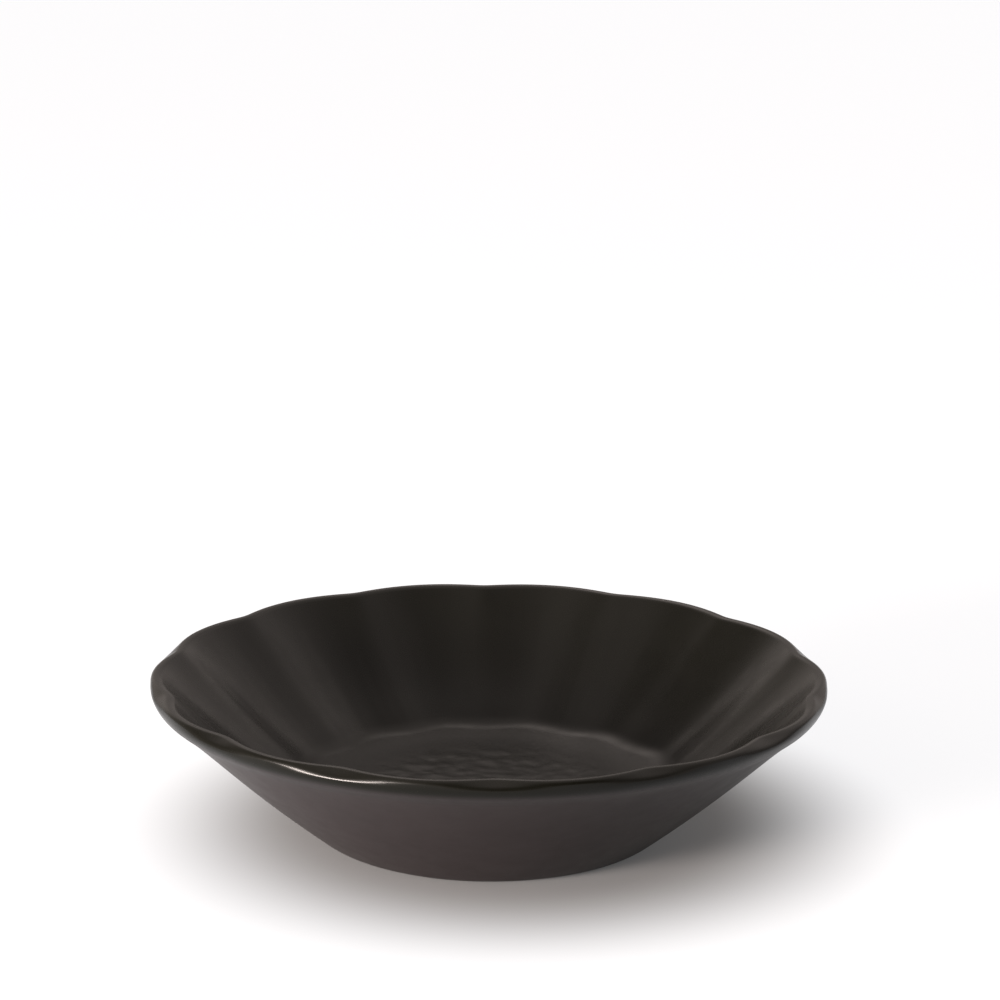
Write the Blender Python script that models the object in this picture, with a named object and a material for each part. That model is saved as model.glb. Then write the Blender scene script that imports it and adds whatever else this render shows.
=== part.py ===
"""Tea plate: a small deep dish of stoneware under a black glaze.

The lip has fourteen shallow lobes. They run down the inside as flutes, with a soft ridge between each two,
and fade out just below the lip on the outside, which is a plain bowl standing on a low foot ring.
The pieces are the fired clay body and the three coats of glaze on it: the coat poured inside and carried
over the lip, the coat on the outside and the coat in the recess under the base.

Lengths are in millimetres until a mesh is made. The axis is Z, the foot stands on z = 0, a crown of a
lobe points along +X and along -X, and a notch between two lobes along +Y and along -Y.
"""

import math

import bmesh
import bpy

MILLIMETRE = 0.001

# Outline seen from above
LOBES = 14
CROWN_RADIUS = 75.0
NOTCH_DEPTH = 1.9
NOTCH_SOFTNESS = 0.1
COLUMNS_PER_LOBE = 6

# Lip
HEIGHT = 35.4
LIP_INNER_ROUND = 2.4
LIP_OUTER_ROUND = 1.0
LIP_UNDER_ROUND = 4.2
LOBES_START_OUTSIDE = 33.6

# Inside: a flat floor, a round into the wall, and a wall that steepens a little towards the lip
FLOOR_HEIGHT = 8.4
FLOOR_RADIUS = 41.0
FLOOR_ROUND = 8.0
INNER_WALL_LOW_ANGLE = 41.0
INNER_WALL_HIGH_ANGLE = 45.0
INNER_WALL_HANDLE = 11.0
LOBE_SHARE_AT_FLOOR = 0.75

# Outside: one curve from the lip to the foot, which flares again close under the lip
WALL_HIGH_ANGLE = 36.2
WALL_HIGH_HANDLE = 8.3
WALL_LOW_ANGLE = 38.7
WALL_LOW_HANDLE = 25.9
SEAM_SHARE = 0.1

# Foot ring and the recess inside it
FOOT_RADIUS = 35.4
FOOT_ROUND = 7.0
FOOT_WIDTH = 2.4
FOOT_INNER_ROUND = 0.8
GLAZE_LINE_ANGLE = 15.0
BARE_FOOT_ANGLE = 11.0
RECESS_DEPTH = 3.0
RECESS_TAPER = 1.0

# Glaze, and the gap that keeps two touching pieces apart
COAT = 0.4
GAP = 0.3

# Facets along each stretch of the outline in section
FLOOR_ROUND_STEPS = 3
INNER_WALL_STEPS = 4
LIP_INNER_STEPS = 2
LIP_OUTER_STEPS = 3
LIP_UNDER_STEPS = 3
WALL_STEPS = 5
FOOT_STEPS = 2
FOOT_INNER_STEPS = 3

# Finishes: colour, roughness
CLAY = ((0.50, 0.42, 0.33), 0.85)
BLACK_GLAZE = ((0.012, 0.011, 0.010), 0.25)


def from_level(angle, length):
    """A step of the given length that climbs outwards at an angle in degrees."""
    return length * math.cos(math.radians(angle)), length * math.sin(math.radians(angle))


def arc(centre, radius, start, end, steps):
    """Points on a circle in the plane of radius and height, with angles in degrees from straight out."""
    points = []
    for i in range(steps + 1):
        across, up = from_level(start + (end - start) * i / steps, radius)
        points.append((centre[0] + across, centre[1] + up))
    return points


def curve(handles, first, last, steps):
    """Points on a cubic curve with four handles, from one share of its run to another."""
    points = []
    for i in range(steps + 1):
        t = first + (last - first) * i / steps
        weights = ((1 - t) ** 3, 3 * t * (1 - t) ** 2, 3 * t * t * (1 - t), t ** 3)
        points.append(tuple(sum(w * h[axis] for w, h in zip(weights, handles)) for axis in (0, 1)))
    return points


def wall_handles(low, low_angle, low_length, high, high_angle, high_length):
    """The four handles of a wall that leaves its low end, and reaches its high end, at angles from level."""
    low_step = from_level(low_angle, low_length)
    high_step = from_level(high_angle, high_length)
    return (low, (low[0] + low_step[0], low[1] + low_step[1]),
            (high[0] - high_step[0], high[1] - high_step[1]), high)


def ease(value, low, high):
    """0 below low, 1 above high, and a soft step between them."""
    t = min(max((value - low) / (high - low), 0.0), 1.0)
    return t * t * (3 - 2 * t)


def inside_skin():
    """The glazed surface from the axis over the floor and up the fluted wall to the top of the lip.
    Each point is a radius, a height and the share of the lobing that it takes."""
    floor_round = arc((FLOOR_RADIUS, FLOOR_HEIGHT + FLOOR_ROUND), FLOOR_ROUND,
                      -90, INNER_WALL_LOW_ANGLE - 90, FLOOR_ROUND_STEPS)
    edge_round = arc((CROWN_RADIUS - LIP_OUTER_ROUND, HEIGHT - LIP_INNER_ROUND), LIP_INNER_ROUND,
                     90 + INNER_WALL_HIGH_ANGLE, 90, LIP_INNER_STEPS)
    handles = wall_handles(floor_round[-1], INNER_WALL_LOW_ANGLE, INNER_WALL_HANDLE,
                           edge_round[0], INNER_WALL_HIGH_ANGLE, INNER_WALL_HANDLE)
    wall = curve(handles, 0, 1, INNER_WALL_STEPS)
    skin = []
    for radius, height in [(0.0, FLOOR_HEIGHT)] + floor_round + wall[1:-1] + edge_round:
        climb = (height - FLOOR_HEIGHT) / (HEIGHT - FLOOR_HEIGHT)
        skin.append((radius, height, LOBE_SHARE_AT_FLOOR + (1 - LOBE_SHARE_AT_FLOOR) * climb))
    return skin


def outside_skin():
    """The glazed surface from the top of the lip down the outside, cut in two at the seam between the coats:
    the lip's outer round with the larger one under it, and the wall with the round that turns it under to
    the glaze line."""
    lip = arc((CROWN_RADIUS - LIP_OUTER_ROUND, HEIGHT - LIP_OUTER_ROUND), LIP_OUTER_ROUND,
              90, 0, LIP_OUTER_STEPS)
    lip += arc((CROWN_RADIUS - LIP_UNDER_ROUND, HEIGHT - LIP_OUTER_ROUND), LIP_UNDER_ROUND,
               0, WALL_HIGH_ANGLE - 90, LIP_UNDER_STEPS)[1:]
    foot_round = arc((FOOT_RADIUS, FOOT_ROUND), FOOT_ROUND,
                     WALL_LOW_ANGLE - 90, GLAZE_LINE_ANGLE - 90, FOOT_STEPS)
    handles = wall_handles(foot_round[0], WALL_LOW_ANGLE, WALL_LOW_HANDLE,
                           lip[-1], WALL_HIGH_ANGLE, WALL_HIGH_HANDLE)[::-1]
    half_seam = 0.5 * GAP / (3 * WALL_HIGH_HANDLE)
    over_lip = lip[1:] + curve(handles, 0, SEAM_SHARE - half_seam, 1)[1:]
    wall = curve(handles, SEAM_SHARE + half_seam, 1, WALL_STEPS) + foot_round[1:]
    runs = []
    for points in (over_lip, wall):
        runs.append([(r, z, ease(z, LOBES_START_OUTSIDE, HEIGHT)) for r, z in points])
    return runs


def inset(path, depth):
    """The same path moved into the clay, which lies on the right of its run, by an even depth."""
    moved = []
    for i, (radius, height, share) in enumerate(path):
        before = path[max(i - 1, 0)]
        after = path[min(i + 1, len(path) - 1)]
        runs = [(b[0] - a[0], b[1] - a[1]) for a, b in ((before, path[i]), (path[i], after)) if a is not b]
        normals = [(dz / math.hypot(dr, dz), -dr / math.hypot(dr, dz)) for dr, dz in runs]
        first, last = normals[0], normals[-1]
        stretch = depth / (1 + first[0] * last[0] + first[1] * last[1])
        moved.append((radius + stretch * (first[0] + last[0]),
                      height + stretch * (first[1] + last[1]), share))
    return moved


def foot_and_recess():
    """The bare clay from the glaze line over the foot ring and up into the recess, ending on the axis."""
    centre = (FOOT_RADIUS, FOOT_ROUND)
    step_angle = 0.5 * (GLAZE_LINE_ANGLE + BARE_FOOT_ANGLE) - 90
    step = arc(centre, FOOT_ROUND - COAT - GAP, step_angle, step_angle, 1)[1:]
    bare = arc(centre, FOOT_ROUND, BARE_FOOT_ANGLE - 90, -90, FOOT_STEPS)
    inner = FOOT_RADIUS - FOOT_WIDTH
    inner_round = arc((inner, FOOT_INNER_ROUND), FOOT_INNER_ROUND, -90, -180, FOOT_INNER_STEPS)
    ceiling = RECESS_DEPTH + COAT + GAP
    side = inner - FOOT_INNER_ROUND - RECESS_TAPER
    return [(r, z, 0.0) for r, z in step + bare + inner_round + [(side, ceiling), (0.0, ceiling)]]


def lobe_loss(angle):
    """Radius lost at an angle about the axis: nothing on a crown, the full depth in a notch.
    Each lobe is close to an arc of a circle, and glaze softens the notch where two lobes meet."""
    half_lobe = math.pi / LOBES
    from_crown = abs((angle + half_lobe) % (2 * half_lobe) - half_lobe) / half_lobe
    far = math.hypot(1.0, NOTCH_SOFTNESS)
    near = math.hypot(1.0 - from_crown, NOTCH_SOFTNESS)
    return NOTCH_DEPTH * ((far - near) / (far - NOTCH_SOFTNESS)) ** 2


def turned_piece(name, path, closed, material):
    """Spins a path round the axis and draws it in to the lobed outline."""
    mesh_edit = bmesh.new()
    share = mesh_edit.verts.layers.float.new("share")
    verts = []
    for radius, height, part in path:
        vert = mesh_edit.verts.new((radius * MILLIMETRE, 0.0, height * MILLIMETRE))
        vert[share] = part
        verts.append(vert)
    ends = zip(verts, verts[1:] + verts[:1]) if closed else zip(verts, verts[1:])
    edges = [mesh_edit.edges.new(pair) for pair in ends]
    bmesh.ops.spin(mesh_edit, geom=verts + edges, cent=(0, 0, 0), axis=(0, 0, 1),
                   angle=2 * math.pi, steps=LOBES * COLUMNS_PER_LOBE, use_merge=True)
    bmesh.ops.remove_doubles(mesh_edit, verts=mesh_edit.verts[:], dist=0.001 * MILLIMETRE)
    for vert in mesh_edit.verts:
        radius = math.hypot(vert.co.x, vert.co.y)
        if radius > 0:
            loss = vert[share] * lobe_loss(math.atan2(vert.co.y, vert.co.x)) * MILLIMETRE
            vert.co.xy *= (radius - loss) / radius
    bmesh.ops.recalc_face_normals(mesh_edit, faces=mesh_edit.faces[:])
    mesh = bpy.data.meshes.new(name)
    mesh_edit.to_mesh(mesh)
    mesh_edit.free()
    mesh.shade_smooth()
    mesh.set_sharp_from_angle(angle=math.radians(40))
    mesh.materials.append(material)
    piece = bpy.data.objects.new(name, mesh)
    bpy.context.scene.collection.objects.link(piece)
    return piece


def finish(name, colour, roughness):
    """A plain material with one colour."""
    material = bpy.data.materials.new(name)
    material.use_nodes = True
    shader = material.node_tree.nodes["Principled BSDF"]
    shader.inputs["Base Color"].default_value = (*colour, 1.0)
    shader.inputs["Roughness"].default_value = roughness
    shader.inputs["Metallic"].default_value = 0.0
    return material


def build():
    """Makes the body and its three coats, all held by one empty on the table under the axis."""
    for scene_object in list(bpy.data.objects):
        bpy.data.objects.remove(scene_object)
    inside = inside_skin()
    over_lip, wall = outside_skin()
    skin = inside + over_lip + wall
    coat_back = inset(skin, COAT)
    seam = len(inside) + len(over_lip)
    clay_path = inset(skin, COAT + GAP) + foot_and_recess()
    inside_path = skin[:seam] + coat_back[:seam][::-1]
    outside_path = skin[seam:] + coat_back[seam:][::-1]
    base_edge = FOOT_RADIUS - FOOT_WIDTH - FOOT_INNER_ROUND - RECESS_TAPER - GAP
    base_path = [(0.0, RECESS_DEPTH, 0.0), (base_edge, RECESS_DEPTH, 0.0),
                 (base_edge, RECESS_DEPTH + COAT, 0.0), (0.0, RECESS_DEPTH + COAT, 0.0)]
    pieces = [
        turned_piece("stoneware_body", clay_path, False, finish("bare_clay", *CLAY)),
        turned_piece("inside_glaze", inside_path, False, finish("inside_black_glaze", *BLACK_GLAZE)),
        turned_piece("outside_glaze", outside_path, True, finish("outside_black_glaze", *BLACK_GLAZE)),
        turned_piece("base_glaze", base_path, False, finish("base_black_glaze", *BLACK_GLAZE)),
    ]
    plate = bpy.data.objects.new("tea_plate", None)
    bpy.context.scene.collection.objects.link(plate)
    for piece in pieces:
        piece.parent = plate


build()
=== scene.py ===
# %% [markdown]
# # A black glazed tea plate
#
# The object is a small deep dish of stoneware, 150 mm across, with a lip of fourteen shallow lobes.
# The lobes run down the inside as flutes. A thick black glaze covers it, glossy inside and over the
# lip, more like satin outside, and only the foot that it stands on is bare clay.
#
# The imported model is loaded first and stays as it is. It gives the sizes, and each of its four
# pieces is then replaced by a finer one, so that the curves are round and the glaze has the small
# unevenness of a poured coat.

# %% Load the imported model
import math
from collections import namedtuple

import bmesh
import bpy
from mathutils import Matrix, Vector, noise


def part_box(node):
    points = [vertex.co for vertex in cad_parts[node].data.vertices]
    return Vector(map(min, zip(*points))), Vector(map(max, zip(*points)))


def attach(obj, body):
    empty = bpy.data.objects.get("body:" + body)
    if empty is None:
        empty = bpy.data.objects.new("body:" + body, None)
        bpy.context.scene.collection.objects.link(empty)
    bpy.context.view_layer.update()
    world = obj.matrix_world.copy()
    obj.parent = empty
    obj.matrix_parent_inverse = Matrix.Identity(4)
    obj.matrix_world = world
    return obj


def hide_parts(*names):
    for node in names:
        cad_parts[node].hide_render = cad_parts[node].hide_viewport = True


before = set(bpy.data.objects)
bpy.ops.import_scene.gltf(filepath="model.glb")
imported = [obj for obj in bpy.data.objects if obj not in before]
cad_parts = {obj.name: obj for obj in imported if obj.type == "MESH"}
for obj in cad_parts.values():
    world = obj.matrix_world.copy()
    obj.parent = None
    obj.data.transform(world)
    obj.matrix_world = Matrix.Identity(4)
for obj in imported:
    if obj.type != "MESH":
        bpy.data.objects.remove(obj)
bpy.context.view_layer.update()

print("nodes:", sorted(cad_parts))

# %% [markdown]
# ## Sizes
#
# A potter thinks in millimetres and Blender in metres, so the script works in millimetres until a
# mesh is made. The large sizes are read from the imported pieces. The rounds and slopes between them
# can't be read from a box, so later cells repeat them by name.

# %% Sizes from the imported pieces
MM = 0.001
inside_low, inside_high = (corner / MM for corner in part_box("inside_glaze"))
base_low, base_high = (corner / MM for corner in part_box("base_glaze"))

CROWN_RADIUS = inside_high.x
HEIGHT = inside_high.z
COAT = base_high.z - base_low.z
FLOOR_HEIGHT = inside_low.z + COAT
RECESS_DEPTH = base_low.z
print(f"crown radius {CROWN_RADIUS:.1f}, height {HEIGHT:.1f},",
      f"floor at {FLOOR_HEIGHT:.1f}, coat {COAT:.2f} mm")

# %% [markdown]
# ## The lobed outline
#
# Seen from above, each lobe is close to an arc of a circle, and the glaze fills the notch where two
# lobes meet, so that it ends in a small round. The outline could be drawn as fourteen arcs with
# bevelled corners. One formula for the radius that is lost at each angle is shorter, and the same
# formula serves the lip, the flutes and the clay.

# %% Radius lost between two lobes
LOBES = 14
NOTCH_DEPTH = 1.9
PLAIN_SOFTNESS = 0.1


def lobe_loss(angle, softness):
    """Millimetres of radius lost at an angle: none on a crown, most in a softened notch."""
    half_lobe = math.pi / LOBES
    from_crown = abs((angle + half_lobe) % (2 * half_lobe) - half_lobe) / half_lobe
    far = math.hypot(1.0, softness)
    near = math.hypot(1.0 - from_crown, softness)
    return NOTCH_DEPTH * ((far - near) / (far - softness)) ** 2


print("lost on a crown, half way and in a notch:",
      [round(lobe_loss(turn * math.pi / LOBES, PLAIN_SOFTNESS), 2) for turn in (0, 0.5, 1)])

# %% [markdown]
# ## Drawing a section
#
# A dish is turned on a wheel, and in Blender it is turned from a section: the line that a cut
# through the axis would show. The line could be a curve object with a Screw modifier, but then a
# point couldn't carry values of its own. Here each point has a radius, a height, its share of the
# lobing, a mark that says whether it lies on the glaze's outer skin, and how soft the notches are
# there. Lines, arcs and cubic curves are all that the sections need.

# %% Points of a section
Point = namedtuple("Point", "radius height share skin softness", defaults=(PLAIN_SOFTNESS,))


def from_level(angle, length):
    """A step of the given length that climbs outwards at an angle in degrees."""
    return length * math.cos(math.radians(angle)), length * math.sin(math.radians(angle))


def arc(centre, radius, start, end, steps):
    """Points on a circle in the section's plane, with angles in degrees from straight out."""
    points = []
    for i in range(steps + 1):
        across, up = from_level(start + (end - start) * i / steps, radius)
        points.append((centre[0] + across, centre[1] + up))
    return points


def line(start, end, steps):
    """Evenly spaced points from one place to another."""
    return [tuple(a + (b - a) * i / steps for a, b in zip(start, end)) for i in range(steps + 1)]


def curve(handles, first, last, steps):
    """Points on a cubic curve with four handles, from one share of its run to another."""
    points = []
    for i in range(steps + 1):
        t = first + (last - first) * i / steps
        weights = ((1 - t) ** 3, 3 * t * (1 - t) ** 2, 3 * t * t * (1 - t), t ** 3)
        points.append(tuple(sum(w * h[axis] for w, h in zip(weights, handles)) for axis in (0, 1)))
    return points


def wall_handles(low, low_angle, low_length, high, high_angle, high_length):
    """The handles of a wall that leaves its low end and reaches its high end at given angles."""
    low_step = from_level(low_angle, low_length)
    high_step = from_level(high_angle, high_length)
    return (low, (low[0] + low_step[0], low[1] + low_step[1]),
            (high[0] - high_step[0], high[1] - high_step[1]), high)


def ease(value, low, high):
    """0 below low, 1 above high, and a soft step between them."""
    t = min(max((value - low) / (high - low), 0.0), 1.0)
    return t * t * (3 - 2 * t)


def inset(path, depth):
    """The same path moved into the clay, which lies on the right of its run, by an even depth."""
    moved = []
    for i, point in enumerate(path):
        before = path[max(i - 1, 0)]
        after = path[min(i + 1, len(path) - 1)]
        along = Vector((after.radius - before.radius, after.height - before.height)).normalized()
        moved.append(point._replace(radius=max(point.radius + along.y * depth, 0.0),
                                    height=point.height - along.x * depth, skin=0.0))
    return moved


print("a quarter arc:", [tuple(round(x, 2) for x in p) for p in arc((0, 0), 1.0, 0, 90, 3)])

# %% [markdown]
# ## Turning a section
#
# bmesh.ops.spin does what the wheel does. It copies the points' own values to every copy, so after
# the spin each vertex still knows its share of the lobing and can be drawn in by that much. A full
# spin needs use_merge, and the points on the axis are merged after it, so that the poles are closed
# before the normals are made to agree.

# %% Spin and draw in to the lobes
COLUMNS_PER_LOBE = 32
SAME_PLACE = 0.0005
SHARP_ANGLE = 50.0


def turned(path, closed):
    """A bmesh, in metres, of a section spun round the axis and drawn in to the lobed outline."""
    mesh_edit = bmesh.new()
    share = mesh_edit.verts.layers.float.new("share")
    skin = mesh_edit.verts.layers.float.new("skin")
    softness = mesh_edit.verts.layers.float.new("softness")
    verts = []
    for point in path:
        vert = mesh_edit.verts.new((point.radius * MM, 0.0, point.height * MM))
        vert[share] = point.share
        vert[skin] = point.skin
        vert[softness] = point.softness
        verts.append(vert)
    ends = zip(verts, verts[1:] + verts[:1]) if closed else zip(verts, verts[1:])
    edges = [mesh_edit.edges.new(pair) for pair in ends]
    bmesh.ops.spin(mesh_edit, geom=verts + edges, cent=(0, 0, 0), axis=(0, 0, 1),
                   angle=2 * math.pi, steps=LOBES * COLUMNS_PER_LOBE, use_merge=True)
    bmesh.ops.remove_doubles(mesh_edit, verts=mesh_edit.verts[:], dist=SAME_PLACE * MM)
    for vert in mesh_edit.verts:
        radius = math.hypot(vert.co.x, vert.co.y)
        if radius > 0:
            loss = vert[share] * lobe_loss(math.atan2(vert.co.y, vert.co.x), vert[softness]) * MM
            vert.co.xy *= (radius - loss) / radius
    bmesh.ops.recalc_face_normals(mesh_edit, faces=mesh_edit.faces[:])
    return mesh_edit


def move_skin(mesh_edit, depth_at):
    """Moves the skin's vertices along their normals, by millimetres that depend on the place."""
    mesh_edit.normal_update()
    skin = mesh_edit.verts.layers.float["skin"]
    for vert in mesh_edit.verts:
        if vert[skin] > 0:
            vert.co += vert.normal * vert[skin] * depth_at(vert.co / MM) * MM


def piece_from(name, mesh_edit):
    """Turns a bmesh into a named object at the origin, shaded smooth apart from its sharp edges."""
    mesh = bpy.data.meshes.new(name)
    mesh_edit.to_mesh(mesh)
    mesh_edit.free()
    mesh.shade_smooth()
    mesh.set_sharp_from_angle(angle=math.radians(SHARP_ANGLE))
    piece = bpy.data.objects.new(name, mesh)
    bpy.context.scene.collection.objects.link(piece)
    print(f"{name}: {len(mesh.vertices)} vertices, {len(mesh.polygons)} faces")
    return piece


print("columns round the dish:", LOBES * COLUMNS_PER_LOBE)

# %% [markdown]
# ## The inside skin
#
# Inside, the dish has a flat floor, a round into the wall, a wall that steepens a little towards
# the top, and a lip with a soft round on its inner edge. The flutes are crisp at the lip, grow
# softer and shallower on the way down, and fade out on the level floor, where the potter's rib has
# smoothed them away. Each flute could be cut with a boolean, but as values on the section's points
# they change smoothly with the height. The rings are close together on the floor, which carries a
# fine relief.

# %% Section of the inside skin
FLOOR_RADIUS = 41.0
FLOOR_ROUND = 8.0
INNER_WALL_LOW_ANGLE = 41.0
INNER_WALL_HIGH_ANGLE = 45.0
INNER_WALL_HANDLE = 11.0
LOBE_SHARE_AT_FLOOR = 0.6
SOFTNESS_AT_FLOOR = 0.6
SOFTNESS_AT_LIP = 0.12
FLUTES_START_RADIUS = 30.0
LIP_OUTER_ROUND = 1.0
LIP_INNER_ROUND = 2.4
FLOOR_STEPS = 72
CORNER_STEPS = 10
INNER_WALL_STEPS = 24
LIP_STEPS = 14


def inside_skin():
    """The points from the axis over the floor and up the fluted wall to the top of the lip."""
    floor = line((0.0, FLOOR_HEIGHT), (FLOOR_RADIUS, FLOOR_HEIGHT), FLOOR_STEPS)
    floor_round = arc((FLOOR_RADIUS, FLOOR_HEIGHT + FLOOR_ROUND), FLOOR_ROUND,
                      -90, INNER_WALL_LOW_ANGLE - 90, CORNER_STEPS)
    edge_round = arc((CROWN_RADIUS - LIP_OUTER_ROUND, HEIGHT - LIP_INNER_ROUND), LIP_INNER_ROUND,
                     90 + INNER_WALL_HIGH_ANGLE, 90, LIP_STEPS)
    handles = wall_handles(floor_round[-1], INNER_WALL_LOW_ANGLE, INNER_WALL_HANDLE,
                           edge_round[0], INNER_WALL_HIGH_ANGLE, INNER_WALL_HANDLE)
    wall = curve(handles, 0, 1, INNER_WALL_STEPS)
    points = []
    for radius, height in floor[:-1] + floor_round + wall[1:-1] + edge_round:
        climb = (height - FLOOR_HEIGHT) / (HEIGHT - FLOOR_HEIGHT)
        share = LOBE_SHARE_AT_FLOOR + (1 - LOBE_SHARE_AT_FLOOR) * climb
        softness = SOFTNESS_AT_FLOOR + (SOFTNESS_AT_LIP - SOFTNESS_AT_FLOOR) * climb ** 2
        share *= ease(radius, FLUTES_START_RADIUS, FLOOR_RADIUS)
        points.append(Point(radius, height, share, 1.0, softness))
    return points


inside_points = inside_skin()
print("inside skin:", len(inside_points), "points")

# %% [markdown]
# ## The outside skin
#
# From the top of the lip the outside turns through a round, flares a little, and falls in one long
# curve to the foot. The glaze that was poured inside runs over the lip and ends in a seam a few
# millimetres below it, and the outside coat starts there. The two coats could be drawn one by one,
# but one curve that is cut in two at the seam lets them meet with no step.

# %% Section of the outside skin
LIP_UNDER_ROUND = 4.2
LOBES_START_OUTSIDE = 33.6
WALL_HIGH_ANGLE = 36.2
WALL_HIGH_HANDLE = 8.3
WALL_LOW_ANGLE = 38.7
WALL_LOW_HANDLE = 25.9
SEAM_SHARE = 0.1
FOOT_RADIUS = 35.4
FOOT_ROUND = 7.0
GLAZE_LINE_ANGLE = 15.0
UNDER_LIP_STEPS = 8
OVER_LIP_STEPS = 4
OUTER_WALL_STEPS = 40
FOOT_STEPS = 8


def outside_skin():
    """The run over the lip to the seam, and the run from there to the glaze line at the foot."""
    lip = arc((CROWN_RADIUS - LIP_OUTER_ROUND, HEIGHT - LIP_OUTER_ROUND), LIP_OUTER_ROUND,
              90, 0, LIP_STEPS)
    lip += arc((CROWN_RADIUS - LIP_UNDER_ROUND, HEIGHT - LIP_OUTER_ROUND), LIP_UNDER_ROUND,
               0, WALL_HIGH_ANGLE - 90, UNDER_LIP_STEPS)[1:]
    foot_round = arc((FOOT_RADIUS, FOOT_ROUND), FOOT_ROUND,
                     WALL_LOW_ANGLE - 90, GLAZE_LINE_ANGLE - 90, FOOT_STEPS)
    handles = wall_handles(foot_round[0], WALL_LOW_ANGLE, WALL_LOW_HANDLE,
                           lip[-1], WALL_HIGH_ANGLE, WALL_HIGH_HANDLE)[::-1]
    over_lip = lip[1:] + curve(handles, 0, SEAM_SHARE, OVER_LIP_STEPS)[1:]
    wall = curve(handles, SEAM_SHARE, 1, OUTER_WALL_STEPS) + foot_round[1:]
    runs = []
    for points in (over_lip, wall):
        runs.append([Point(r, z, ease(z, LOBES_START_OUTSIDE, HEIGHT), 1.0, SOFTNESS_AT_LIP)
                     for r, z in points])
    runs[0][-1] = runs[0][-1]._replace(skin=0.0)
    runs[1][0] = runs[1][0]._replace(skin=0.0)
    return runs


over_lip_points, wall_points = outside_skin()
print(f"seam at {wall_points[0].height:.1f} mm, glaze line at {wall_points[-1].height:.2f} mm")

# %% [markdown]
# ## The poured surface
#
# A fired glaze is never quite even: it settles in long, very low swells, and on the floor of this
# dish a shallow relief shows through it as small soft bumps. Both could be bump maps, but a bump
# map leaves the shape itself flat, so they are moved into the mesh. Perlin noise gives the same
# values on every run.

# %% Swells and floor relief
SWELL_DEPTH = 0.03
SWELL_SIZE = 16.0
RELIEF_DEPTH = 0.15
RELIEF_SIZE = 3.5
RELIEF_FULL_RADIUS = 20.0
RELIEF_END_RADIUS = 35.0
FINE_BUMP_SHARE = 0.25
FINE_BUMP_SCALE = 2.1


def swell(place):
    """Millimetres that the settled glaze stands out or in."""
    return SWELL_DEPTH * noise.noise(place / SWELL_SIZE)


def floor_relief(place):
    """Millimetres of the shallow bumps on the level floor, fading out before the corner."""
    radius = math.hypot(place.x, place.y)
    if radius > RELIEF_END_RADIUS:
        return 0.0
    fade = 1.0 - ease(radius, RELIEF_FULL_RADIUS, RELIEF_END_RADIUS)
    flat_place = Vector((place.x, place.y, 0.0)) / RELIEF_SIZE
    bumps = noise.noise(flat_place) + FINE_BUMP_SHARE * noise.noise(flat_place * FINE_BUMP_SCALE)
    return RELIEF_DEPTH * fade * bumps


print(f"swells of {SWELL_DEPTH} mm over {SWELL_SIZE} mm,",
      f"relief of {RELIEF_DEPTH} mm over {RELIEF_SIZE} mm")

# %% [markdown]
# ## Where the glaze has run
#
# In the kiln the glaze runs. It comes down the flutes in faint streaks and gathers in the corner
# between the floor and the wall, so that this corner is rounder than the clay's. A wider round in
# the section could show the pool, but then the clay's corner would change as well. Moving only the
# skin leaves the clay as it is.

# %% Corner pool and runs
POOL_DEPTH = 0.8
POOL_RADIUS = 43.5
POOL_WIDTH = 7.2
RUN_DEPTH = 0.04
RUN_WIDTH = 3.0
RUN_LENGTH = 18.0
RUN_FULL_RADIUS = 48.0
RUN_FADE_RADIUS = 67.0
RUN_END_RADIUS = 70.5


def corner_pool(place):
    """Millimetres by which the glaze lies deeper in the corner between the floor and the wall."""
    return POOL_DEPTH * math.exp(-((math.hypot(place.x, place.y) - POOL_RADIUS) / POOL_WIDTH) ** 2)


def wall_runs(place):
    """Millimetres of the narrow runs in which the glaze has come down the fluted wall."""
    radius = math.hypot(place.x, place.y)
    if radius < FLOOR_RADIUS:
        return 0.0
    turn = place.xy.normalized() * CROWN_RADIUS / RUN_WIDTH
    share = ease(radius, FLOOR_RADIUS, RUN_FULL_RADIUS)
    share *= 1.0 - ease(radius, RUN_FADE_RADIUS, RUN_END_RADIUS)
    return RUN_DEPTH * share * noise.noise(Vector((*turn, place.z / RUN_LENGTH)))


def inside_depth(place):
    """All that the inside skin is moved by, in millimetres. The lip keeps only the swells."""
    return swell(place) + corner_pool(place) + wall_runs(place) + floor_relief(place)


print(f"pool up to {POOL_DEPTH} mm deep, runs of {RUN_DEPTH} mm")

# %% [markdown]
# ## The inside coat
#
# The coat is a thin closed shell: its skin runs from the axis over the lip to the seam, and its
# back runs home again against the clay. A Solidify modifier could add the back, but the back is
# never seen, so a coarser copy of the section saves faces.

# %% Inside coat
BACK_STRIDE = 4


def coarse(path):
    """Every few points of a path, with both ends kept."""
    return path[:-1:BACK_STRIDE] + path[-1:]


inside_path = inside_points + over_lip_points
inside_shell = turned(inside_path + coarse(inset(inside_path, COAT))[::-1], closed=False)
move_skin(inside_shell, inside_depth)
inside_coat = piece_from("inside_coat", inside_shell)

# %% [markdown]
# ## Notes for the material
#
# The glaze isn't the same all over. Spoons have dulled the floor most, and the wall and the lip a
# little. Under the lip the inside glaze thins out into the drier outside glaze. A texture could be
# painted for this. Here two values are stored on the vertices as attributes, because they follow
# from a vertex's place and from the way that it faces.

# %% Dullness and the change under the lip
WORN_FLOOR = 0.14
WORN_WALL = 0.05
WORN_LIP = 0.04
DRIER_OUTSIDE = 0.14
FLOOR_TO_WALL = (36.0, 50.0)
LIP_BELOW_TOP = (4.0, 1.0)
FACING_DOWN = (0.4, 0.75)


def under_lip(place, normal):
    """0 where the coat faces up or out, and 1 where it faces down under the lip."""
    return ease(-normal.z, *FACING_DOWN)


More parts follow.
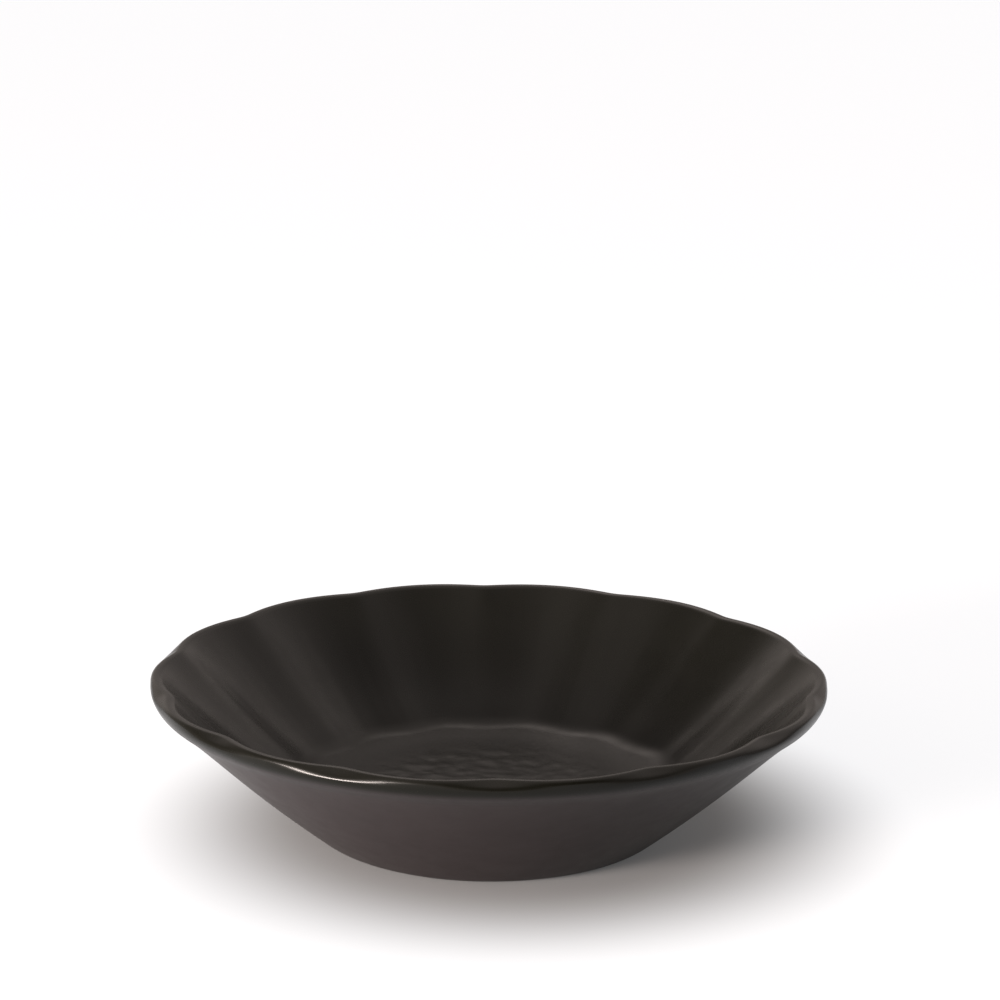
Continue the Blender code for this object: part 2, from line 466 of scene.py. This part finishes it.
def dullness(place, normal):
    """The roughness that is added to the inside glaze at a vertex."""
    on_wall = ease(math.hypot(place.x, place.y), *FLOOR_TO_WALL)
    on_lip = ease(place.z, HEIGHT - LIP_BELOW_TOP[0], HEIGHT - LIP_BELOW_TOP[1])
    inside = WORN_FLOOR + (WORN_WALL - WORN_FLOOR) * on_wall
    inside += (WORN_LIP - inside) * on_lip
    return inside + (DRIER_OUTSIDE - inside) * under_lip(place, normal)


def note(piece, name, value_at):
    """Stores a value on every vertex under a name that a material can read."""
    layer = piece.data.attributes.new(name, "FLOAT", "POINT")
    for vert, item in zip(piece.data.vertices, layer.data):
        item.value = value_at(vert.co / MM, vert.normal)


note(inside_coat, "dullness", dullness)
note(inside_coat, "under_lip", under_lip)
print("notes:", [layer.name for layer in inside_coat.data.attributes
                 if layer.name in ("dullness", "under_lip")])

# %% [markdown]
# ## The outside coat
#
# Outside, the glaze is wiped off before the foot, and surface tension rounds its edge there. A
# Bevel modifier could round it, but it would round the seam under the lip as well. So the end of
# the section is a half circle as wide as the coat, and the edge shows its thickness when the dish
# is turned over.

# %% Outside coat
EDGE_STEPS = 8
wall_back = inset(wall_points, COAT)
last_skin, last_back = wall_points[-1], wall_back[-1]
middle = (0.5 * (last_skin.radius + last_back.radius), 0.5 * (last_skin.height + last_back.height))
edge_angle = GLAZE_LINE_ANGLE - 90
edge = [Point(r, z, 0.0, 0.0)
        for r, z in arc(middle, 0.5 * COAT, edge_angle, edge_angle - 180, EDGE_STEPS)]
outside_shell = turned(wall_points + edge[1:-1] + coarse(wall_back)[::-1], closed=True)
move_skin(outside_shell, swell)
outside_coat = piece_from("outside_coat", outside_shell)

# %% [markdown]
# ## The clay body
#
# Under the glaze the clay follows the same section, one coat and a hair deeper. Only the foot ring
# shows: a narrow flat, a round to the recess on its inside, and on its outside a slope that rises
# to meet the edge of the glaze. A boolean could cut the recess out of a solid, but a section that
# runs from the axis back to the axis needs no cut.

# %% Clay body
BED = 0.04
FOOT_WIDTH = 2.4
FOOT_INNER_ROUND = 0.8
RECESS_TAPER = 1.0
BARE_FOOT_ANGLE = 5.0
COVERED_FOOT_ANGLE = GLAZE_LINE_ANGLE - 2.0
BARE_FOOT_STEPS = 12
RECESS_SIDE_STEPS = 6


def foot_and_recess():
    """The clay from under the glaze's edge, over the foot ring and up the recess, to the axis."""
    outer = []
    for i in range(BARE_FOOT_STEPS + 1):
        angle = GLAZE_LINE_ANGLE * (1 - i / BARE_FOOT_STEPS)
        depth = (COAT + BED) * ease(angle, BARE_FOOT_ANGLE, COVERED_FOOT_ANGLE)
        across, up = from_level(angle - 90, FOOT_ROUND - depth)
        outer.append((FOOT_RADIUS + across, FOOT_ROUND + up))
    inner = FOOT_RADIUS - FOOT_WIDTH
    inner_round = arc((inner, FOOT_INNER_ROUND), FOOT_INNER_ROUND, -90, -180, FOOT_STEPS)
    ceiling = RECESS_DEPTH + COAT + BED
    side = line(inner_round[-1], (inner_round[-1][0] - RECESS_TAPER, ceiling), RECESS_SIDE_STEPS)
    return [Point(r, z, 0.0, 0.0) for r, z in outer[1:] + inner_round + side[1:] + [(0.0, ceiling)]]


clay_skin = coarse(inside_path) + coarse(wall_points)[1:]
clay_shell = turned(inset(clay_skin, COAT + BED) + foot_and_recess(), closed=False)
clay_body = piece_from("clay_body", clay_shell)

# %% [markdown]
# ## The coat under the base
#
# The recess inside the foot ring is glazed as well. It could be a plain disc, but the glaze creeps
# a little way along the recess's side, so its section ends in a small hollow round and not in a
# disc's sharp edge.

# %% Base coat
CREEP = 1.2
CREEP_END_ANGLE = 20
CREEP_STEPS = 8
BASE_STEPS = 14
BACK_CLEARANCE = 0.05
base_edge = FOOT_RADIUS - FOOT_WIDTH - FOOT_INNER_ROUND - RECESS_TAPER
hollow = arc((base_edge - CREEP, RECESS_DEPTH - CREEP), CREEP, 90, CREEP_END_ANGLE, CREEP_STEPS)
level_part = line((0.0, RECESS_DEPTH), hollow[0], BASE_STEPS)
back = ((base_edge - BACK_CLEARANCE, RECESS_DEPTH + COAT), (0.0, RECESS_DEPTH + COAT))
base_skin = [Point(r, z, 0.0, 1.0) for r, z in level_part[:-1] + hollow]
base_back = [Point(r, z, 0.0, 0.0) for r, z in back]
base_shell = turned(base_skin + base_back, closed=False)
move_skin(base_shell, swell)
base_coat = piece_from("base_coat", base_shell)

# %% [markdown]
# ## Helpers for nodes
#
# A material is a small graph. It could be drawn in the shader editor, but a script can be run
# again. Two helpers keep the code short: one adds a node and fills in its settings and sockets, and
# the other wires an output to an input. A colour Mix node has several sockets of the same name, so
# its sockets are found by number.

# %% Node helpers
MIX_SHARE, MIX_FIRST, MIX_SECOND, MIX_RESULT = 0, 6, 7, 2


def add(tree, kind, sockets=None, **settings):
    """Adds a node, sets its own settings and then the values of the named input sockets."""
    node = tree.nodes.new(kind)
    for name, value in settings.items():
        setattr(node, name, value)
    for name, value in (sockets or {}).items():
        node.inputs[name].default_value = value
    return node


def wire(tree, source, output, target, socket):
    """Links an output of one node to an input of another, each found by its name or number."""
    tree.links.new(source.outputs[output], target.inputs[socket])


print("helpers:", add.__name__, wire.__name__)

# %% [markdown]
# ## The glaze, as a node group
#
# All three coats are the same glaze, fired a little differently: slow clouds in the colour where
# the coat is thicker or thinner, a patchy gloss, and the fine orange peel of a settled surface. The
# nodes could be built again in each material, but one group keeps what they share in one place. It
# puts out a colour, a roughness and a height, and each material feeds them to its own shader.

# %% Glaze surface group
glaze = bpy.data.node_groups.new("glaze_surface", "ShaderNodeTree")
for name, kind in (("Place", "NodeSocketVector"), ("Thick colour", "NodeSocketColor"),
                   ("Thin colour", "NodeSocketColor"), ("Least roughness", "NodeSocketFloat"),
                   ("Most roughness", "NodeSocketFloat")):
    glaze.interface.new_socket(name, in_out="INPUT", socket_type=kind)
for name, kind in (("Colour", "NodeSocketColor"), ("Roughness", "NodeSocketFloat"),
                   ("Height", "NodeSocketFloat")):
    glaze.interface.new_socket(name, in_out="OUTPUT", socket_type=kind)

given = add(glaze, "NodeGroupInput")
result = add(glaze, "NodeGroupOutput")
clouds = add(glaze, "ShaderNodeTexNoise", {"Scale": 70.0, "Detail": 4.0, "Roughness": 0.55})
thickness = add(glaze, "ShaderNodeMix", data_type="RGBA")
patches = add(glaze, "ShaderNodeTexNoise", {"Scale": 190.0, "Detail": 5.0, "Roughness": 0.6})
gloss = add(glaze, "ShaderNodeMapRange", {"From Min": 0.3, "From Max": 0.7})
peel = add(glaze, "ShaderNodeTexNoise", {"Scale": 900.0, "Detail": 2.0, "Roughness": 0.5})
for texture in (clouds, patches, peel):
    wire(glaze, given, "Place", texture, "Vector")
wire(glaze, clouds, "Fac", thickness, MIX_SHARE)
wire(glaze, given, "Thick colour", thickness, MIX_FIRST)
wire(glaze, given, "Thin colour", thickness, MIX_SECOND)
wire(glaze, thickness, MIX_RESULT, result, "Colour")
wire(glaze, patches, "Fac", gloss, "Value")
wire(glaze, given, "Least roughness", gloss, "To Min")
wire(glaze, given, "Most roughness", gloss, "To Max")
wire(glaze, gloss, "Result", result, "Roughness")
wire(glaze, peel, "Fac", result, "Height")
print("glaze group:", len(glaze.nodes), "nodes")

# %% [markdown]
# ## Three glazes
#
# A new material per coat sets the group's values. The inside is the glossiest and very slightly
# warm. The outside is drier and has a trace of violet, as iron blacks do where they are thin. The
# inside glaze that has run over the lip takes on a darker shade of the outside's colour, and the
# values noted on its vertices say where, and how dull it is. One material with masks could do for
# all three, but three are easier to change. Constant values, such as the index of refraction and
# the shine, go straight on the shader's socket.

# %% Glaze materials
GLAZE_IOR = 1.5
PEEL_DEPTH = 0.002
INSIDE_COLOURS = (0.0022, 0.0022, 0.0015), (0.0036, 0.0035, 0.0024)
UNDER_LIP_COLOURS = (0.0090, 0.0069, 0.0071), (0.0122, 0.0094, 0.0097)
OUTSIDE_COLOURS = (0.0120, 0.0092, 0.0095), (0.0163, 0.0125, 0.0129)
BASE_COLOURS = (0.0060, 0.0054, 0.0047), (0.0092, 0.0082, 0.0072)


def glaze_colour(tree, place, colours, roughness):
    """The group with the colours of thick and thin places and a range of roughness."""
    thick, thin = colours
    surface = add(tree, "ShaderNodeGroup", node_tree=glaze)
    for socket, value in (("Thick colour", (*thick, 1.0)), ("Thin colour", (*thin, 1.0)),
                          ("Least roughness", roughness[0]), ("Most roughness", roughness[1])):
        surface.inputs[socket].default_value = value
    wire(tree, place, "Object", surface, "Place")
    return surface


def glaze_material(name, colours, roughness, shine, lip_colours=None):
    """A glaze. With colours for under the lip, it reads the notes on its piece's vertices."""
    material = bpy.data.materials.new(name)
    material.use_nodes = True
    tree = material.node_tree
    shader = tree.nodes["Principled BSDF"]
    shader.inputs["IOR"].default_value = GLAZE_IOR
    shader.inputs["Specular IOR Level"].default_value = shine
    place = add(tree, "ShaderNodeTexCoord")
    surface = glaze_colour(tree, place, colours, roughness)
    wire(tree, surface, "Colour", shader, "Base Color")
    wire(tree, surface, "Roughness", shader, "Roughness")
    if lip_colours:
        other = glaze_colour(tree, place, lip_colours, roughness)
        where = add(tree, "ShaderNodeAttribute", attribute_name="under_lip")
        change = add(tree, "ShaderNodeMix", data_type="RGBA")
        wire(tree, where, "Fac", change, MIX_SHARE)
        wire(tree, surface, "Colour", change, MIX_FIRST)
        wire(tree, other, "Colour", change, MIX_SECOND)
        wire(tree, change, MIX_RESULT, shader, "Base Color")
        worn = add(tree, "ShaderNodeAttribute", attribute_name="dullness")
        dulled = add(tree, "ShaderNodeMath", operation="ADD")
        wire(tree, surface, "Roughness", dulled, 0)
        wire(tree, worn, "Fac", dulled, 1)
        wire(tree, dulled, "Value", shader, "Roughness")
    bump = add(tree, "ShaderNodeBump", {"Strength": 1.0, "Distance": PEEL_DEPTH * MM})
    wire(tree, surface, "Height", bump, "Height")
    wire(tree, bump, "Normal", shader, "Normal")
    return material


inside_black = glaze_material("inside_black_glaze", INSIDE_COLOURS,
                              roughness=(0.19, 0.27), shine=0.16, lip_colours=UNDER_LIP_COLOURS)
outside_black = glaze_material("outside_black_glaze", OUTSIDE_COLOURS,
                               roughness=(0.34, 0.40), shine=0.12)
base_black = glaze_material("base_black_glaze", BASE_COLOURS, roughness=(0.34, 0.46), shine=0.16)
print("glazes:", inside_black.name, outside_black.name, base_black.name)

# %% [markdown]
# ## Bare clay
#
# Stoneware fires to a dry buff with darker iron specks and a fine grain that catches the light.
# Only the foot ring shows it, so one flat colour could do, but the dish may be turned over. Noise
# on Object coordinates gives the clouds and the grain, and a Voronoi pattern gives the specks.

# %% Clay material
DARK_CLAY = (0.36, 0.29, 0.21, 1.0)
PALE_CLAY = (0.55, 0.46, 0.35, 1.0)
SPECK_COLOUR = (0.10, 0.065, 0.04, 1.0)
GRAIN_DEPTH = 0.06
bare_clay = bpy.data.materials.new("bare_clay")
bare_clay.use_nodes = True
clay_tree = bare_clay.node_tree
clay_shader = clay_tree.nodes["Principled BSDF"]
clay_place = add(clay_tree, "ShaderNodeTexCoord")
clay_clouds = add(clay_tree, "ShaderNodeTexNoise",
                  {"Scale": 120.0, "Detail": 6.0, "Roughness": 0.6})
clay_colour = add(clay_tree, "ShaderNodeValToRGB")
clay_colour.color_ramp.elements[0].color = DARK_CLAY
clay_colour.color_ramp.elements[0].position = 0.3
clay_colour.color_ramp.elements[1].color = PALE_CLAY
clay_colour.color_ramp.elements[1].position = 0.7
clay_specks = add(clay_tree, "ShaderNodeTexVoronoi", {"Scale": 900.0, "Randomness": 1.0})
speck_mask = add(clay_tree, "ShaderNodeMapRange",
                 {"From Min": 0.16, "From Max": 0.24, "To Min": 0.7, "To Max": 0.0})
speckled = add(clay_tree, "ShaderNodeMix", data_type="RGBA")
speckled.inputs[MIX_SECOND].default_value = SPECK_COLOUR
clay_grain = add(clay_tree, "ShaderNodeTexNoise",
                 {"Scale": 2600.0, "Detail": 3.0, "Roughness": 0.6})
clay_dryness = add(clay_tree, "ShaderNodeMapRange", {"To Min": 0.75, "To Max": 0.95})
clay_bump = add(clay_tree, "ShaderNodeBump", {"Strength": 1.0, "Distance": GRAIN_DEPTH * MM})
for texture in (clay_clouds, clay_specks, clay_grain):
    wire(clay_tree, clay_place, "Object", texture, "Vector")
wire(clay_tree, clay_clouds, "Fac", clay_colour, "Fac")
wire(clay_tree, clay_specks, "Distance", speck_mask, "Value")
wire(clay_tree, speck_mask, "Result", speckled, MIX_SHARE)
wire(clay_tree, clay_colour, "Color", speckled, MIX_FIRST)
wire(clay_tree, speckled, MIX_RESULT, clay_shader, "Base Color")
wire(clay_tree, clay_grain, "Fac", clay_dryness, "Value")
wire(clay_tree, clay_dryness, "Result", clay_shader, "Roughness")
wire(clay_tree, clay_grain, "Fac", clay_bump, "Height")
wire(clay_tree, clay_bump, "Normal", clay_shader, "Normal")
print("clay:", len(clay_tree.nodes), "nodes")

# %% [markdown]
# ## Taking the places of the imported pieces
#
# Each fine piece rides on the model's one body and takes its material. The imported piece that it
# replaces stays in the physics model and is hidden here.

# %% Ride, replace and finish
FINISHED = (
    (clay_body, "stoneware_body", "bare_clay", bare_clay),
    (inside_coat, "inside_glaze", "inside_black_glaze", inside_black),
    (outside_coat, "outside_glaze", "outside_black_glaze", outside_black),
    (base_coat, "base_glaze", "base_black_glaze", base_black),
)
for piece, node, slot, material in FINISHED:
    piece.data.materials.append(material)
    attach(piece, "root")
    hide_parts(node)
    print(piece.name, "stands for", node)

# %% [markdown]
# ## The floor
#
# The dish stands on a plain white floor that fills the picture. The lights could make it white
# alone, but then they would be too strong for the glaze. So part of the white is the floor's own,
# which Light Path shows only to the camera and in reflections, and the rest is lit, with a soft
# shadow. Its own white is held back close to the dish, a little more on the side away from the soft
# box, so that it doesn't wash that shadow out. This dimming is a painted shadow on the floor, and
# the dish's outside glaze reflects it.

# %% Studio floor
FLOOR_REACH = 2.6
FLOOR_SIDES = 96
PAPER_GREY = (0.25, 0.25, 0.25, 1.0)
PAPER_GLOW = (0.98, 1.0, 1.03, 1.0)
# Painted shadow: the floor's own white runs from its first value near the dish to its second further
# out, centred a little away from the soft box.
OWN_WHITE_WITH_PAINTED_SHADOW = (0.06, 0.76)
PAINTED_SHADOW_REACH = (0.044, 0.0935)
PAINTED_SHADOW_MIDDLE = (0.006, 0.004, 0.0)
floor_edit = bmesh.new()
bmesh.ops.create_circle(floor_edit, cap_ends=True, radius=FLOOR_REACH, segments=FLOOR_SIDES)
studio_floor = piece_from("studio_floor", floor_edit)

paper = bpy.data.materials.new("white_paper")
paper.use_nodes = True
paper_tree = paper.node_tree
paper_shader = paper_tree.nodes["Principled BSDF"]
paper_shader.inputs["Base Color"].default_value = PAPER_GREY
paper_shader.inputs["Roughness"].default_value = 1.0
paper_shader.inputs["Specular IOR Level"].default_value = 0.0
paper_shader.inputs["Emission Color"].default_value = PAPER_GLOW
rays = add(paper_tree, "ShaderNodeLightPath")
camera_or_gloss = add(paper_tree, "ShaderNodeMath", operation="MAXIMUM")
any_seen = add(paper_tree, "ShaderNodeMath", operation="MAXIMUM")
own_white = add(paper_tree, "ShaderNodeMath", operation="MULTIPLY")
paper_place = add(paper_tree, "ShaderNodeTexCoord")
# Painted shadow: the own white grows with the distance from a point a little away from the soft box.
from_painted_shadow_middle = add(paper_tree, "ShaderNodeVectorMath", operation="DISTANCE")
from_painted_shadow_middle.inputs[1].default_value = PAINTED_SHADOW_MIDDLE
white_with_painted_shadow = add(paper_tree, "ShaderNodeMapRange",
                {"From Min": PAINTED_SHADOW_REACH[0], "From Max": PAINTED_SHADOW_REACH[1],
                 "To Min": OWN_WHITE_WITH_PAINTED_SHADOW[0], "To Max": OWN_WHITE_WITH_PAINTED_SHADOW[1]}, interpolation_type="SMOOTHSTEP")
wire(paper_tree, paper_place, "Object", from_painted_shadow_middle, 0)
wire(paper_tree, from_painted_shadow_middle, "Value", white_with_painted_shadow, "Value")
wire(paper_tree, rays, "Is Camera Ray", camera_or_gloss, 0)
wire(paper_tree, rays, "Is Glossy Ray", camera_or_gloss, 1)
wire(paper_tree, camera_or_gloss, "Value", any_seen, 0)
wire(paper_tree, rays, "Is Transmission Ray", any_seen, 1)
wire(paper_tree, any_seen, "Value", own_white, 0)
wire(paper_tree, white_with_painted_shadow, "Result", own_white, 1)
wire(paper_tree, own_white, "Value", paper_shader, "Emission Strength")
studio_floor.data.materials.append(paper)

# %% [markdown]
# ## The camera
#
# The photograph was taken from about 20 degrees above the table with a long lens. The dish sits
# below the middle of the picture. Lens shift could put it there, but a plain camera that looks a
# little above it does the same.

# %% Camera
CAMERA_DISTANCE = 0.7473
CAMERA_ELEVATION = math.radians(19.7711)
CAMERA_AZIMUTH = math.radians(181.1344)
LOOK_DOWN = math.radians(14.1822)
LOOK_ASIDE = math.radians(-1.3023)
ROLL = math.radians(0.5206)
SENSOR_WIDTH = 36.0
FOCAL_LENGTH = 119.0353

lens = bpy.data.cameras.new("photo_camera")
lens.sensor_width = SENSOR_WIDTH
lens.lens = FOCAL_LENGTH
camera = bpy.data.objects.new("photo_camera", lens)
bpy.context.scene.collection.objects.link(camera)
level_reach = CAMERA_DISTANCE * math.cos(CAMERA_ELEVATION)
camera.location = (level_reach * math.sin(CAMERA_AZIMUTH), level_reach * math.cos(CAMERA_AZIMUTH),
                   CAMERA_DISTANCE * math.sin(CAMERA_ELEVATION))
aim = Matrix.Rotation(LOOK_ASIDE, 3, "Z") @ Matrix.Rotation(math.pi / 2 - LOOK_DOWN, 3, "X")
camera.rotation_euler = (aim @ Matrix.Rotation(ROLL, 3, "Z")).to_euler()
bpy.context.scene.camera = camera
print("camera at", tuple(round(x, 3) for x in camera.location))

# %% [markdown]
# ## The room
#
# A black glaze shows what stands round it more than its own colour. The reflections in the
# photograph suggest a dim room that is lighter overhead and low in front, and dark above the
# camera, with a pale panel on the left, another high behind the dish and weaker ones round the
# back. A ring of lamps could do it, but their edges would show in the glaze, so the room is one
# world colour with soft patches. Each patch has a direction, a core and a fade, in degrees, and the
# light that it adds or takes away.

# %% Room
ROOM_TINT = (1.13, 1.0, 0.93)
ROOM_LEVEL = 0.38
ROOM_LEAST = 0.02
ROOM_PATCHES = (
    (0, 90, -20, 122, 0.95),
    (340, 17, 29, 61, 0.95),
    (112, 44, 8, 26, -0.45),
    (152, 16, 3, 18, 0.3),
    (339, 41, 9, 51, -1.85),
    (58, 24, 0, 20, 4.6),
    (172, 44, 1, 18, 2.2),
    (210, 13, 3, 15, 0.2),
    (232, 37, 4, 27, 0.51),
)


def towards(azimuth, elevation):
    """A direction in degrees. Azimuth 0 is towards the camera, and it grows to the left."""
    turn, climb = math.radians(azimuth), math.radians(elevation)
    across = math.cos(climb)
    return Vector((-math.sin(turn) * across, -math.cos(turn) * across, math.sin(climb)))


room = bpy.data.worlds.new("studio_room")
room.use_nodes = True
bpy.context.scene.world = room
room_tree = room.node_tree
room_light = room_tree.nodes["Background"]
room_light.inputs["Color"].default_value = (*ROOM_TINT, 1.0)
room_place = add(room_tree, "ShaderNodeTexCoord")
level = None
for azimuth, elevation, core, fade, strength in ROOM_PATCHES:
    along = add(room_tree, "ShaderNodeVectorMath", operation="DOT_PRODUCT")
    along.inputs[1].default_value = towards(azimuth, elevation)
    apart = add(room_tree, "ShaderNodeMath", operation="ARCCOSINE")
    patch = add(room_tree, "ShaderNodeMapRange",
                {"From Min": math.radians(core), "From Max": math.radians(core + fade),
                 "To Min": strength, "To Max": 0.0}, interpolation_type="SMOOTHSTEP")
    total = add(room_tree, "ShaderNodeMath", operation="ADD")
    total.inputs[0].default_value = ROOM_LEVEL
    wire(room_tree, room_place, "Generated", along, 0)
    wire(room_tree, along, "Value", apart, 0)
    wire(room_tree, apart, "Value", patch, "Value")
    if level is not None:
        wire(room_tree, level, "Value", total, 0)
    wire(room_tree, patch, "Result", total, 1)
    level = total
no_less = add(room_tree, "ShaderNodeMath", operation="MAXIMUM")
no_less.inputs[1].default_value = ROOM_LEAST
wire(room_tree, level, "Value", no_less, 0)
wire(room_tree, no_less, "Value", room_light, "Strength")
print("room:", len(ROOM_PATCHES), "soft patches")

# %% [markdown]
# ## The soft box
#
# The bright line on the near lip shows one strong soft box, low on the left and in front of the
# dish. It could be one more patch of the room, but so small and bright a light is less noisy as an
# area lamp. It is the only lamp, and it gives the lit shadow its side. The painted shadow on the
# floor leans the same way.

# %% Soft box


def lamp(name, radiance, size, azimuth, elevation, distance):
    """An area lamp that faces the dish. Its power is its radiance times four times its area."""
    light = bpy.data.lights.new(name, "AREA")
    light.shape = "RECTANGLE"
    light.size, light.size_y = size
    light.energy = radiance * 4 * size[0] * size[1]
    light.color = ROOM_TINT
    box = bpy.data.objects.new(name, light)
    bpy.context.scene.collection.objects.link(box)
    away = towards(azimuth, elevation)
    box.location = away * distance
    box.rotation_euler = away.to_track_quat("Z", "Y").to_euler()
    print(name, "at", tuple(round(x, 2) for x in box.location))


lamp("soft_box", radiance=120.0, size=(0.34, 0.22), azimuth=51, elevation=8, distance=1.0)

# %% [markdown]
# ## Colour
#
# The Standard view shows a colour as it is written. Other views, such as AgX, could soften the
# highlights, but they would change the blacks as well.

# %% Finish
bpy.context.scene.view_settings.view_transform = "Standard"
